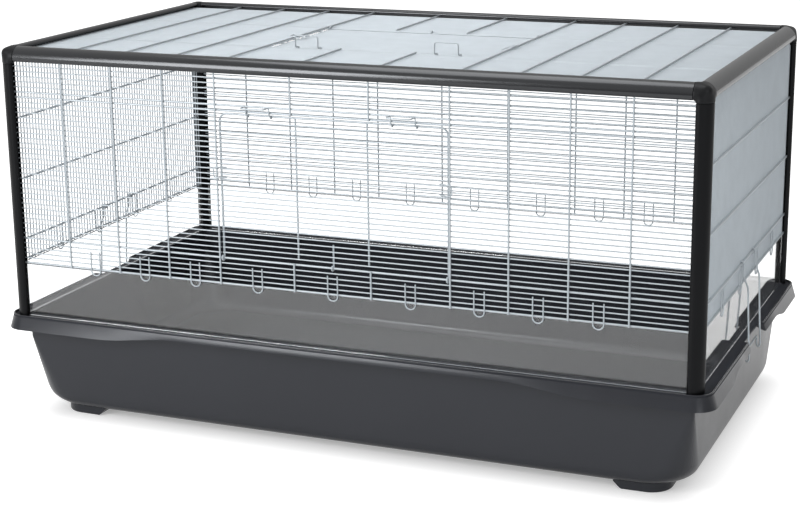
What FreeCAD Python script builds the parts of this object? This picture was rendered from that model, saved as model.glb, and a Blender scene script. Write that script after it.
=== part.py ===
import FreeCAD
import Part
import math
import os

os.makedirs("parts", exist_ok=True)
Vec = FreeCAD.Vector

# Millimetres. X runs along the cage, the door side faces -Y, Z is up, the table is Z = 0.

# Tray: a deep moulded tub with a ledge, a flared skirt round it and four low feet
trayLength = 1000.0
trayDepth = 564.0
rimHeight = 146.0
footHeight = 12.0
trayWall = 3.0
ledgeThickness = 3.0
endLedge = 22.5
sideLedge = 20.5
tubCornerRadius = 6.0
floorCornerRadius = 55.0
endLean = 3.0
sideLean = 4.0
endBendRadius = 26.0
sideBendRadius = 16.0
uprightDepth = 34.0
skirtDepth = 18.0
skirtWall = 2.5
skirtFlare = 5.5
skirtCornerRadius = 24.0
shallowSkirt = 7.0
deepSkirtLength = 150.0
skirtTaper = 120.0
beadWidth = 2.5
beadRise = 2.0
footLength = 64.0
footWidth = 56.0
footEndInset = 34.0
footSideInset = 17.0
footCorner = 28.0
footChamfer = 3.0
notchWidth = 92.0
notchLedge = 14.0
notchCorner = 6.0
bendShares = (0.0, 0.1, 0.35, 0.65, 1.0)

# Frame: grooved profile, wider across the corner than through it, on three-way corner pieces
postEndInset = 20.5
postSideInset = 14.5
profileWidth = 24.0
profileThickness = 15.4
profileEndRadius = 5.5
grooveFloor = 4.0
grooveInside = 2.7
grooveOutside = 4.2
panelOffset = 1.5
spigotRadius = 2.5
spigotFit = 0.1
spigotOffset = 1.5
spigotLength = 14.0
cornerReach = 13.0
cornerProud = 0.35

# Wire panels: close-set bars with thicker wires welded across their outside
rowRadius = 0.9
crossRadius = 1.2
edgeRadius = 1.4
rowPitch = 7.0
sidePitch = 7.2
hingeRows = 5
doorRows = 28
headerRows = 1
topRows = 5
paneRise = 75.7
railDrop = 16.3
wideBay = 107.5
narrowBay = 76.6
sideCrossDrop = 85.0
sideCrossLow = 28.0
hatchHinge = 88.0
rowClear = 15.0
seatGap = 0.2

# Pane hooks: U wires on the lowest bars that overlap the pane's top edge
hookRadius = 0.9
hookWidth = 15.5
hookRise = 25.0
hookDrop = 8.0
sideHookPitch = 104.5

# Clear panes
paneThickness = 3.0
paneFaceOut = 0.7
paneTopGap = 0.6

# Door and hatch: a bent border, bars on its outside and curls round the hinge wire
doorSideGap = 2.0
doorTopGap = 4.6
doorCornerRadius = 10.0
innerWireShare = 0.46
curlClearance = 0.15
curlShares = (0.5, 1.2)
stopReach = 11.0
stopWidth = 14.0
stopHeight = 115.0
stopClearance = 0.5
middleCurlRise = 30.0

# Latches: wire bails on the door's and the hatch's free edge
latchPlaceShare = 0.93
latchWidth = 33.0
latchRadius = 0.9
latchRise = 12.0
latchOut = 16.0
latchBend = 3.0
latchClearance = 0.6
latchEyeShares = (0.45, 1.0)

# End clamps: wire bails that hang on the side panels and hook under the rim
clampRadius = 1.2
clampRows = 5
clampKink = 9.0
clampKinkDrop = 32.0
clampLegOut = 4.8
clampHookDrop = 30.0
clampTipRise = 16.0
clampTipGap = 0.5
clampBend = 5.0
clampEyeShares = (0.8, 0.05)

# Sides of a wire's, a bail's and a corner piece's section, and the overrun of every cut
wireSides = 4
bailSides = 6
armSides = 12
ballRings = 5
quarterSteps = 3
tubCornerSteps = 6
overrun = 5.0
levelShare = 0.7

lipX = trayLength / 2 - skirtFlare
lipY = trayDepth / 2 - skirtFlare
tubX = lipX - endLedge
tubY = lipY - sideLedge
postX = lipX - postEndInset
postY = lipY - postSideInset
bottomWire = rimHeight + paneRise
hingeHeight = bottomWire + rowPitch * hingeRows
rowCount = hingeRows + doorRows + headerRows + topRows
railHeight = bottomWire + rowPitch * rowCount + railDrop
edgeIn = rowRadius - edgeRadius
crossOut = rowRadius + crossRadius
sideCrossOut = rowRadius + edgeRadius
hookOut = rowRadius + hookRadius
doorHalf = wideBay * 1.5 - crossRadius - doorSideGap - edgeRadius + rowRadius
doorTop = rowPitch * doorRows - doorTopGap
innerWire = wideBay * innerWireShare
latchPlace = wideBay * latchPlaceShare
crossPlaces = [wideBay / 2, wideBay * 1.5]
crossPlaces += [wideBay * 1.5 + narrowBay * step for step in (1, 2, 3)]
bayCentres = [0.0, wideBay] + [wideBay * 1.5 + narrowBay * (step - 0.5) for step in (1, 2, 3)]


def curlRadius(radius):
    # The curl's straight steps stay clear of the thick wire that it goes round.
    return (edgeRadius + radius + curlClearance) / math.cos(math.tau / 8 / (quarterSteps - 1))


frameIn = edgeIn - curlRadius(edgeRadius)
barIn = frameIn + edgeRadius + rowRadius


def unit(vector):
    return Vec(vector).normalize()


def ring(centre, direction, radius, sides):
    helper = Vec(0, 0, 1)
    if abs(direction.z) > levelShare:
        helper = Vec(1, 0, 0)
    side = unit(direction.cross(helper))
    up = direction.cross(side)
    angles = [math.tau * step / sides for step in range(sides)]
    return [centre + side * (radius * math.cos(a)) + up * (radius * math.sin(a)) for a in angles]


def polygonFace(points):
    return Part.Face(Part.makePolygon(list(points) + [points[0]]))


def bar(start, end, radius, sides=wireSides):
    return polygonFace(ring(start, unit(end - start), radius, sides)).extrude(end - start)


def roundBar(start, end, radius):
    return Part.makeCylinder(radius, (end - start).Length, start, unit(end - start))


def skin(sections):
    # A closed solid over a row of sections with equal numbers of points.
    faces = [polygonFace(sections[0]), polygonFace(sections[-1])]
    for low, high in zip(sections, sections[1:]):
        for step in range(len(low)):
            after = (step + 1) % len(low)
            faces.append(polygonFace([low[step], low[after], high[after], high[step]]))
    solid = Part.Solid(Part.makeShell(faces))
    if solid.Volume < 0:
        solid.reverse()
    return solid


def rod(points, radius, sides=wireSides):
    # A bent wire: its section is carried from one mitre plane to the next.
    section = ring(points[0], unit(points[1] - points[0]), radius, sides)
    sections = [section]
    for index in range(1, len(points)):
        direction = unit(points[index] - points[index - 1])
        normal = direction
        if index + 1 < len(points):
            normal = unit(direction + unit(points[index + 1] - points[index]))
        slope = direction.dot(normal)
        section = [p + direction * ((points[index] - p).dot(normal) / slope) for p in section]
        sections.append(section)
    return skin(sections)


def arcPoints(centre, first, second, startTurn, endTurn):
    # Points round a circle; first and second are its radius vectors a quarter turn apart.
    count = max(2, math.ceil(abs(endTurn - startTurn) * 4 * (quarterSteps - 1)) + 1)
    turns = [startTurn + (endTurn - startTurn) * step / (count - 1) for step in range(count)]
    return [centre + first * math.cos(math.tau * t) + second * math.sin(math.tau * t) for t in turns]


def rounded(points, radius):
    path = [points[0]]
    for before, corner, after in zip(points, points[1:], points[2:]):
        back = unit(before - corner)
        ahead = unit(after - corner)
        half = back.getAngle(ahead) / 2
        centre = corner + unit(back + ahead) * (radius / math.sin(half))
        first = corner + back * (radius / math.tan(half)) - centre
        second = back * -radius
        path += arcPoints(centre, first, second, 0, 0.5 - half * 2 / math.tau)
    return path + [points[-1]]


def roundedOutline(halfX, halfY, radius, height):
    corners = [(1, -1, 0.75), (1, 1, 0.0), (-1, 1, 0.25), (-1, -1, 0.5)]
    edges = []
    last = None
    first = None
    for signX, signY, turn in corners:
        centre = Vec(signX * (halfX - radius), signY * (halfY - radius), height)
        angles = [math.tau * (turn + share) for share in (0.0, 0.125, 0.25)]
        points = [centre + Vec(radius * math.cos(a), radius * math.sin(a), 0) for a in angles]
        if last is not None:
            edges.append(Part.LineSegment(last, points[0]).toShape())
        else:
            first = points[0]
        edges.append(Part.Arc(*points).toShape())
        last = points[2]
    edges.append(Part.LineSegment(last, first).toShape())
    return Part.Wire(edges)


def outlineSolid(outlines):
    return Part.makeLoft(outlines, True, True)


def tubRing(halfX, halfY, radius, height):
    points = []
    for signX, signY, turn in ((1, -1, 0.75), (1, 1, 0.0), (-1, 1, 0.25), (-1, -1, 0.5)):
        centre = Vec(signX * (halfX - radius), signY * (halfY - radius), height)
        angles = [math.tau * (turn + step / tubCornerSteps / 4) for step in range(tubCornerSteps + 1)]
        points += [centre + Vec(radius * math.cos(a), radius * math.sin(a), 0) for a in angles]
    return points


def bendInset(rise, radius):
    if rise >= radius:
        return 0.0
    return radius - math.sqrt(radius ** 2 - (radius - rise) ** 2)


def tub(inset, top):
    # Below an upright band the walls lean in, bend into the floor and get rounder corners.
    floor = footHeight + inset
    band = rimHeight - uprightDepth
    rises = [(endBendRadius - inset) * share for share in bendShares]
    rings = []
    for rise in rises + [band - floor, top - floor]:
        lean = 1 - min(1, rise / (band - floor))
        halfX = tubX - inset - endLean * lean - bendInset(rise, endBendRadius - inset)
        halfY = tubY - inset - sideLean * lean - bendInset(rise, sideBendRadius - inset)
        radius = tubCornerRadius + (floorCornerRadius - tubCornerRadius) * lean - inset
        rings.append(tubRing(halfX, halfY, radius, floor + rise))
    return skin(rings)


def lipOutline(inset, height):
    return roundedOutline(lipX - inset, lipY - inset, skirtCornerRadius - inset, height)


def skirtOutline(inset, height):
    half = trayLength / 2 - inset
    return roundedOutline(half, trayDepth / 2 - inset, skirtCornerRadius + skirtFlare - inset, height)


def rim():
    low = rimHeight - skirtDepth
    outer = outlineSolid([skirtOutline(0, low), lipOutline(0, rimHeight)])
    bead = outlineSolid([lipOutline(0, rimHeight), lipOutline(0, rimHeight + beadRise)])
    well = outlineSolid([lipOutline(beadWidth, rimHeight), lipOutline(beadWidth, rimHeight + beadRise + overrun)])
    under = rimHeight - ledgeThickness
    slope = skirtFlare / skirtDepth
    hollowLow = skirtOutline(skirtWall - slope * overrun, low - overrun)
    hollow = outlineSolid([hollowLow, skirtOutline(skirtWall + slope * (under - low), under)])
    return outer.fuse(bead).cut(well).cut(hollow)


def skirtCuts():
    # The long sides' skirt is shallow between its ends, and each end has a notch for its clamp.
    low = rimHeight - skirtDepth - overrun
    high = rimHeight - shallowSkirt
    wide = trayLength / 2 - deepSkirtLength
    near = wide - skirtTaper
    reach = tubY + trayWall
    points = [Vec(-wide, -reach, low), Vec(-near, -reach, high), Vec(near, -reach, high), Vec(wide, -reach, low)]
    side = polygonFace(points).extrude(Vec(0, reach - trayDepth / 2 - overrun, 0))
    depth = trayLength / 2 + overrun - tubX - notchLedge
    notch = Part.makeBox(depth, notchWidth, skirtDepth + beadRise + overrun * 2)
    notch = notch.makeFillet(notchCorner, [e for e in notch.Edges if abs(e.tangentAt(0).z) > levelShare])
    notch.translate(Vec(tubX + notchLedge, -notchWidth / 2, low))
    half = FreeCAD.Rotation(Vec(0, 0, 1), 180)
    cuts = [side, notch]
    for shape in (side, notch):
        other = shape.copy()
        other.Placement = FreeCAD.Placement(Vec(0, 0, 0), half).multiply(shape.Placement)
        cuts.append(other)
    return cuts


def foot(signX, signY):
    # A low pad with its outer corner cut off to follow the tub's.
    outX = tubX - footEndInset
    outY = tubY - footSideInset
    inX = outX - footLength
    inY = outY - footWidth
    outline = [(inX, inY), (outX, inY), (outX, outY - footCorner), (outX - footCorner, outY), (inX, outY)]
    pad = polygonFace([Vec(signX * x, signY * y, 0) for x, y in outline])
    pad = pad.extrude(Vec(0, 0, footHeight + sideBendRadius))
    low = [e for e in pad.Edges if e.CenterOfMass.z < footHeight and abs(e.tangentAt(0).z) < levelShare]
    return pad.makeChamfer(footChamfer, low)


def hollowTub():
    return tub(trayWall, rimHeight + beadRise + overrun)


def tray():
    body = tub(0, rimHeight - ledgeThickness)
    feet = [foot(signX, signY) for signX in (-1, 1) for signY in (-1, 1)]
    return body.fuse(feet).cut(hollowTub()).removeSplitter()


def block(low, high):
    size = high - low
    shape = Part.makeBox(size.x, size.y, size.z)
    shape.translate(low)
    return shape


def rimRuns(whole, xs, ys, layers):
    # The rim's run inside each cell of a grid: the skirt, the ledge and the lip apart.
    runs = []
    for lowX, highX in zip(xs, xs[1:]):
        for lowY, highY in zip(ys, ys[1:]):
            for lowZ, highZ in layers:
                runs += whole.common(block(Vec(lowX, lowY, lowZ), Vec(highX, highY, highZ))).Solids
    return runs


def rimNodes():
    # The moulding's rim in straight runs and corners; it rests on the tub's wall.
    whole = rim().cut(skirtCuts() + [hollowTub()])
    farX = trayLength / 2 + overrun
    farY = trayDepth / 2 + overrun
    cornerX = tubX - tubCornerRadius
    cornerY = tubY - tubCornerRadius
    wide = trayLength / 2 - deepSkirtLength
    near = wide - skirtTaper
    notchSide = notchWidth / 2 - notchCorner
    under = rimHeight - ledgeThickness
    skirtLayer = (rimHeight - skirtDepth - overrun, under)
    upperLayers = [(under, rimHeight), (rimHeight, rimHeight + beadRise + overrun)]
    skirtCells = [-farX, -cornerX, -wide, -near, near, wide, cornerX, farX]
    upperCells = [-farX, -cornerX, cornerX, farX]
    endCells = [-cornerY, -notchSide, notchSide, cornerY]
    made = {}
    for name, ys in (("front", [-farY, -cornerY]), ("back", [cornerY, farY])):
        runs = rimRuns(whole, skirtCells, ys, [skirtLayer]) + rimRuns(whole, upperCells, ys, upperLayers)
        made["rim_" + name] = Part.makeCompound(runs)
    for name, xs in (("left", [-farX, -cornerX]), ("right", [cornerX, farX])):
        made["rim_" + name] = Part.makeCompound(rimRuns(whole, xs, endCells, [skirtLayer] + upperLayers))
    return made


def profileArcs(proud):
    # An oval of four arcs: +x and +y point inwards here, its wide way lies across the outer corner.
    along = Vec(1, -1, 0).normalize()
    across = Vec(1, 1, 0).normalize()
    wide = profileWidth / 2 + proud
    thick = profileThickness / 2 + proud
    end = profileEndRadius + proud
    endCentre = wide - end
    big = (endCentre ** 2 + thick ** 2 - end ** 2) / (thick - end) / 2
    reach = big / (big - end)
    joinAlong = endCentre * reach
    joinAcross = thick - big + (big - thick) * reach
    joins = [along * (signA * joinAlong) + across * (signB * joinAcross)
             for signA, signB in ((1, 1), (1, -1), (-1, -1), (-1, 1))]
    middles = [along * wide, across * -thick, along * -wide, across * thick]
    return [Part.Arc(joins[step], middles[step], joins[(step + 1) % 4]).toShape() for step in range(4)]


def profileFace(proud):
    return Part.Face(Part.Wire(profileArcs(proud)))


def armFace(proud):
    points = []
    for arc in profileArcs(proud):
        points += arc.discretize(armSides // 4 + 1)[:-1]
    return polygonFace(points)


def axesPlacement(centre, first, second):
    return FreeCAD.Placement(centre, FreeCAD.Rotation(first, second, first.cross(second), "XYZ"))


def spigot(low, high, radius):
    axis = Vec(-spigotOffset, -spigotOffset, 0)
    return bar(axis + Vec(0, 0, low), axis + Vec(0, 0, high), radius, bailSides)


def profileBar(centre, first, second, length, headEnd, footEnd):
    # A grooved length of profile; an end that takes a corner piece's spigot is bored.
    inset = panelOffset
    shape = profileFace(0).extrude(Vec(0, 0, length))
    wide = grooveInside + grooveOutside
    deep = profileWidth
    groove = Part.makeBox(deep, wide, length + overrun * 2)
    groove.translate(Vec(grooveFloor, -inset - grooveOutside, -overrun))
    other = Part.makeBox(wide, deep, length + overrun * 2)
    other.translate(Vec(-inset - grooveOutside, grooveFloor, -overrun))
    cuts = [groove, other]
    deepest = spigotLength + spigotFit
    for wanted, low, high in ((footEnd, -overrun, deepest), (headEnd, length - deepest, length + overrun)):
        if wanted:
            cuts.append(spigot(low, high, (spigotRadius + spigotFit) / math.cos(math.pi / bailSides)))
    shape = shape.cut(cuts)
    shape.translate(Vec(0, 0, -length / 2))
    shape.Placement = axesPlacement(centre, first, second).multiply(shape.Placement)
    return shape


def post(signX, signY):
    low = rimHeight + seatGap
    high = railHeight - cornerReach - seatGap
    centre = Vec(signX * postX, signY * postY, (low + high) / 2)
    first = Vec(-signX, 0, 0)
    second = Vec(0, -signY, 0)
    if first.cross(second).z < 0:
        first, second = second, first
    return profileBar(centre, first, second, high - low, True, False)


def rail(signX, signY):
    # signX is zero on the front and back rails, signY on the end rails.
    reach = (postX if signX == 0 else postY) - cornerReach - seatGap
    centre = Vec(signX * postX, signY * postY, railHeight)
    return profileBar(centre, Vec(0, 0, -1), Vec(-signX, -signY, 0), reach * 2, True, True)


def cornerArm(first, second):
    arm = armFace(cornerProud).extrude(Vec(0, 0, cornerReach))
    arm = arm.fuse(spigot(0, cornerReach + spigotLength, spigotRadius))
    arm.Placement = axesPlacement(Vec(0, 0, 0), first, second)
    return arm


def ball(radius):
    rises = [math.pi * ((step + 0.5) / ballRings - 0.5) for step in range(ballRings)]
    axis = Vec(0, 0, 1)
    return skin([ring(axis * (radius * math.sin(a)), axis, radius * math.cos(a), armSides) for a in rises])


def corner(signX, signY):
    inX = Vec(-signX, 0, 0)
    inY = Vec(0, -signY, 0)
    down = Vec(0, 0, -1)
    arms = []
    for one, other, way in ((inX, inY, down), (inY, down, inX), (down, inX, inY)):
        if one.cross(other).dot(way) < 0:
            one, other = other, one
        arms.append(cornerArm(one, other))
    halfWide = profileWidth / 2
    halfThick = profileThickness / 2
    middle = ball(math.sqrt((halfWide ** 2 + halfThick ** 2) / 2) + cornerProud)
    shape = middle.fuse(arms)
    shape.translate(Vec(signX * postX, signY * postY, railHeight))
    return shape


# Panels are drawn flat: x along the cage or its end, y up or forwards, z out of the cage.
upright = FreeCAD.Rotation(Vec(1, 0, 0), 90)
panelX = postX + panelOffset
panelY = postY + panelOffset
roofHeight = railHeight + panelOffset


def turned(angle):
    return FreeCAD.Rotation(Vec(0, 0, 1), angle)


places = {
    "front": FreeCAD.Placement(Vec(0, -panelY, 0), upright),
    "back": FreeCAD.Placement(Vec(0, panelY, 0), turned(180).multiply(upright)),
    "right": FreeCAD.Placement(Vec(panelX, 0, 0), turned(90).multiply(upright)),
    "left": FreeCAD.Placement(Vec(-panelX, 0, 0), turned(-90).multiply(upright)),
    "roof": FreeCAD.Placement(Vec(0, 0, roofHeight), turned(180)),
}


def placed(solids, side):
    shape = Part.makeCompound(solids) if len(solids) > 1 else solids[0]
    shape.Placement = places[side].multiply(shape.Placement)
    return shape


def level(y, z, low, high, radius):
    return bar(Vec(low, y, z), Vec(high, y, z), radius)


def pivot(y, z, low, high):
    # A thick wire that something hinges on is round.
    return roundBar(Vec(low, y, z), Vec(high, y, z), edgeRadius)


def standing(x, z, low, high, radius):
    return bar(Vec(x, low, z), Vec(x, high, z), radius)


def longPanel(lowRow, highRow, lowEnd, highEnd, origin, hasDoor, hasEdge):
    # Rows are counted from the hinge wire; a door leaves a gap up to its two header wires.
    reach = postX - grooveFloor - seatGap
    doorEdge = wideBay * 1.5 - crossRadius
    thick = [lowRow] if hasEdge else []
    headers = [doorRows, doorRows + headerRows]
    if hasDoor:
        thick += headers
    solids = []
    for row in range(lowRow, highRow + 1):
        y = origin + row * rowPitch
        if hasDoor and row == 0:
            solids.append(pivot(y, edgeIn, -reach, reach))
        elif row in thick:
            solids.append(level(y, edgeIn, -reach, reach, edgeRadius))
        elif hasDoor and 0 < row < doorRows:
            solids.append(level(y, 0, -reach, -doorEdge, rowRadius))
            solids.append(level(y, 0, doorEdge, reach, rowRadius))
        else:
            solids.append(level(y, 0, -reach, reach, rowRadius))
    for place in crossPlaces:
        for x in (-place, place):
            if hasDoor and place < doorEdge:
                solids.append(standing(x, crossOut, lowEnd, origin + edgeRadius, crossRadius))
                header = origin + rowPitch * doorRows - edgeRadius
                solids.append(standing(x, crossOut, header, highEnd, crossRadius))
            else:
                solids.append(standing(x, crossOut, lowEnd, highEnd, crossRadius))
    return solids


def wallPanel(side, hasDoor):
    top = railHeight - grooveFloor - seatGap
    last = rowCount - hingeRows
    solids = longPanel(-hingeRows, last, bottomWire - edgeRadius, top, hingeHeight, hasDoor, True)
    return placed(solids, side)


def roofPanel():
    end = postY - grooveFloor - seatGap
    lowRow = -math.floor((postY - rowClear - hatchHinge) / rowPitch)
    highRow = math.floor((postY - rowClear + hatchHinge) / rowPitch)
    return placed(longPanel(lowRow, highRow, -end, end, -hatchHinge, True, False), "roof")


def endPanel(side):
    reach = postY - grooveFloor - seatGap
    top = railHeight - grooveFloor - seatGap
    count = math.floor((postY - rowClear) / sidePitch + 0.5)
    solids = []
    for step in range(count):
        for sign in (-1, 1):
            x = sign * (step + 0.5) * sidePitch
            solids.append(standing(x, 0, bottomWire - edgeRadius, top, rowRadius))
    heights = [0.0] + [sideCrossLow + sideCrossDrop * step for step in (1, 2)]
    for rise in heights:
        solids.append(level(bottomWire + rise, sideCrossOut, -reach, reach, edgeRadius))
    solids.append(pivot(bottomWire + sideCrossLow, sideCrossOut, -reach, reach))
    return placed(solids, side)


def hook(x, z):
    half = hookWidth / 2 - hookRadius
    low = bottomWire - hookDrop
    high = bottomWire + hookRise
    points = [Vec(x - half, high, z), Vec(x - half, low, z), Vec(x + half, low, z), Vec(x + half, high, z)]
    return rod(points, hookRadius)


def hooks(side):
    if side in ("front", "back"):
        centres = sorted({sign * x for x in bayCentres for sign in (-1, 1)})
        return placed([hook(x, hookOut) for x in centres], side)
    centres = [sideHookPitch * (step - 1.5) for step in range(4)]
    out = sideCrossOut + edgeRadius + hookRadius
    return placed([hook(x, out) for x in centres], side)


def pane(side):
    reach = (postX if side in ("front", "back") else postY) - grooveFloor - seatGap
    low = rimHeight + seatGap
    high = bottomWire - edgeRadius - paneTopGap
    sheet = Part.makeBox(reach * 2, high - low, paneThickness)
    sheet.translate(Vec(-reach, low, paneFaceOut - paneThickness))
    return placed([sheet], side)


def curl(x, y, z, middle, startTurn, endTurn):
    # Points round a wire that runs along x: turn 0 is outwards, a quarter turn is upwards.
    return arcPoints(Vec(x, y, z), Vec(0, 0, middle), Vec(0, middle, 0), startTurn, endTurn)


def doorBorder(hinge):
    legs = doorHalf - rowRadius
    top = hinge + doorTop
    turn = [Vec(-legs, hinge, frameIn), Vec(-legs, top, frameIn), Vec(legs, top, frameIn), Vec(legs, hinge, frameIn)]
    middle = curlRadius(edgeRadius)
    left = curl(-legs, hinge, edgeIn, middle, curlShares[1], curlShares[0])
    right = curl(legs, hinge, edgeIn, middle, *curlShares)
    return rod(left[:-1] + rounded(turn, doorCornerRadius) + right[1:], edgeRadius)


def doorStop(sign, hinge):
    # A loop on the bars reaches over the panel's upright wire and stops the door there.
    out = crossOut + crossRadius + stopClearance + rowRadius
    low = barIn + rowRadius * 2
    inner = doorHalf - stopReach
    tip = wideBay * 1.5 + crossRadius + edgeRadius + rowRadius
    y = hinge + stopHeight - stopWidth / 2
    ends = [(inner, low), (doorHalf, out), (tip, out)]
    first = [Vec(sign * x, y, z) for x, z in ends]
    second = [point + Vec(0, stopWidth, 0) for point in reversed(first)]
    return rod(first + second, rowRadius)


def doorFrame(side, hinge):
    solids = [doorBorder(hinge)]
    inner = frameIn + edgeRadius - crossRadius
    for x in (-innerWire, innerWire):
        low = hinge + rowPitch - rowRadius
        high = hinge + doorTop - edgeRadius
        solids.append(standing(x, inner, low, high, crossRadius))
    middle = curlRadius(crossRadius)
    path = curl(0, hinge, edgeIn, middle, curlShares[1], curlShares[0])
    path.append(Vec(0, hinge + middleCurlRise, edgeIn - middle))
    solids.append(rod(path, crossRadius))
    solids += [doorStop(sign, hinge) for sign in (-1, 1)]
    return placed(solids, side)


def doorBars(side, hinge):
    solids = []
    last = math.floor((doorTop - edgeRadius - rowRadius * 2) / rowPitch)
    for row in range(1, last + 1):
        solids.append(level(hinge + row * rowPitch, barIn, -doorHalf, doorHalf, rowRadius))
    return placed(solids, side)


def latch(side, hinge, centre):
    # One wire: an eye round the door's top wire, a leg over the headers, a handle, and back.
    middle = curlRadius(latchRadius)
    y = hinge + doorTop
    over = rowRadius + latchRadius + latchClearance
    half = latchWidth / 2
    path = curl(centre - half, y, frameIn, middle, *latchEyeShares)
    bend = [path[-1], Vec(centre - half, y + latchBend, over), Vec(centre - half, y + latchRise, over)]
    bend.append(Vec(centre - half, y + latchRise, over + latchOut))
    path += bend[1:]
    mirror = [Vec(centre * 2 - point.x, point.y, point.z) for point in reversed(path)]
    return placed([rod(path + mirror, latchRadius, bailSides)], side)


def clamp(side):
    # Eyes on the panel's low cross wire, legs kinked clear of the pane, a hook under the rim.
    middle = curlRadius(clampRadius)
    y = bottomWire + sideCrossLow
    x = sidePitch * clampRows
    edge = tubX + notchLedge - panelX
    tip = edge + clampTipGap + clampRadius
    leg = tip + clampLegOut
    bottom = rimHeight - clampHookDrop
    path = curl(-x, y, sideCrossOut, middle, *clampEyeShares)
    kink = [Vec(-x, y - clampKinkDrop / 2, sideCrossOut + middle), Vec(-x, y - clampKinkDrop, clampKink + middle)]
    hang = [Vec(-x, bottom + clampBend, leg), Vec(-x, bottom, leg - clampLegOut / 2)]
    path += kink + hang + [Vec(-x, bottom + clampBend, tip), Vec(-x, bottom + clampTipRise, tip)]
    mirror = [Vec(-point.x, point.y, point.z) for point in reversed(path)]
    return placed([rod(path + mirror, clampRadius, bailSides)], side)


nodes = {"tray": tray()}
nodes.update(rimNodes())
for frontBack, signY in (("front", -1), ("back", 1)):
    for leftRight, signX in (("left", -1), ("right", 1)):
        nodes["post_%s_%s" % (frontBack, leftRight)] = post(signX, signY)
for leftRight, signX in (("left", -1), ("right", 1)):
    nodes["corners_" + leftRight] = Part.makeCompound([corner(signX, -1), corner(signX, 1)])
nodes["rail_front"] = rail(0, -1)
nodes["rail_back"] = rail(0, 1)
nodes["rail_left"] = rail(-1, 0)
nodes["rail_right"] = rail(1, 0)
nodes["panel_front"] = wallPanel("front", True)
nodes["panel_back"] = wallPanel("back", False)
nodes["panel_left"] = endPanel("left")
nodes["panel_right"] = endPanel("right")
nodes["panel_roof"] = roofPanel()
for side in ("front", "back", "left", "right"):
    nodes["hooks_" + side] = hooks(side)
    nodes["pane_" + side] = pane(side)
for name, side, hinge in (("door", "front", hingeHeight), ("hatch", "roof", -hatchHinge)):
    nodes[name + "_frame"] = doorFrame(side, hinge)
    nodes[name + "_bars"] = doorBars(side, hinge)
    turn = 1 if side == "front" else -1
    nodes[name + "_latch_left"] = latch(side, hinge, -latchPlace * turn)
    nodes[name + "_latch_right"] = latch(side, hinge, latchPlace * turn)
nodes["clamp_left"] = clamp("left")
nodes["clamp_right"] = clamp("right")

for name, shape in nodes.items():
    shape.exportStep("parts/%s.step" % name)
    box = shape.BoundBox
    print(name, len(shape.Solids), "%.1f %.1f %.1f" % (box.XLength, box.YLength, box.ZLength), shape.isValid())
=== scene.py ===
import bpy
import bmesh
import math
from mathutils import Matrix, Vector


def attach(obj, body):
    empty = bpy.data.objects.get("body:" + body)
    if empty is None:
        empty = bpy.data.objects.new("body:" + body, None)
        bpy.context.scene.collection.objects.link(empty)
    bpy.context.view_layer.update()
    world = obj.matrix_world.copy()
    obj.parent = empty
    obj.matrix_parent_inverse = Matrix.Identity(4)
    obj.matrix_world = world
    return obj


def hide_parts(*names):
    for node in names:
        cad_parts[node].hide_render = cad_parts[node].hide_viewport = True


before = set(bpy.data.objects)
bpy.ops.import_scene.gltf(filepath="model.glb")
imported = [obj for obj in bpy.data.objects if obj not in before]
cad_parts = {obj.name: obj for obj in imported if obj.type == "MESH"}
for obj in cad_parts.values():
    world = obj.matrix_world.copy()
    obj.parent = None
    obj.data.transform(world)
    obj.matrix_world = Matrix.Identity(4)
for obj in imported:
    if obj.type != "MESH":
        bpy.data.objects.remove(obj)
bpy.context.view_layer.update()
print("frame loaded:", len(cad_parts), "nodes")

mm = 0.001  # sizes below are in millimetres


# Shared helpers

def addPiece(name, bm, body, material, nodes, sharp):
    mesh = bpy.data.meshes.new(name)
    bm.to_mesh(mesh)
    bm.free()
    return addMesh(name, mesh, body, material, nodes, sharp)


def addMesh(name, mesh, body, material, nodes, sharp):
    mesh.name = name
    mesh.polygons.foreach_set("use_smooth", [True] * len(mesh.polygons))
    mesh.set_sharp_from_angle(angle=math.radians(sharp))
    mesh.materials.clear()
    mesh.materials.append(material)
    piece = bpy.data.objects.new(name, mesh)
    bpy.context.scene.collection.objects.link(piece)
    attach(piece, body)
    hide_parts(*nodes)
    return piece


def bakedMesh(piece):
    depsgraph = bpy.context.evaluated_depsgraph_get()
    return bpy.data.meshes.new_from_object(piece.evaluated_get(depsgraph))


def tempObject(bm):
    mesh = bpy.data.meshes.new("temp")
    bm.to_mesh(mesh)
    bm.free()
    temp = bpy.data.objects.new("temp", mesh)
    bpy.context.scene.collection.objects.link(temp)
    return temp


def dropObject(temp):
    mesh = temp.data
    bpy.data.objects.remove(temp)
    bpy.data.meshes.remove(mesh)


def addBar(bm, start, end, radius, sides):
    start = Vector(start)
    end = Vector(end)
    way = end - start
    place = Matrix.Translation((start + end) / 2) @ way.to_track_quat("Z", "Y").to_matrix().to_4x4()
    bmesh.ops.create_cone(bm, cap_ends=True, cap_tris=False, segments=sides,
                          radius1=radius, radius2=radius, depth=way.length, matrix=place)


def roundEdges(bm, edges, width, steps):
    return bmesh.ops.bevel(bm, geom=edges, offset=width, offset_type="OFFSET", segments=steps,
                           profile=0.5, affect="EDGES", clamp_overlap=True, material=-1)


# corners flatter than this half angle stay as they are, and an arc takes up to this share of a side
bentWire = {"flat": 86.0, "share": 0.48, "roundness": 2}


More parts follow.
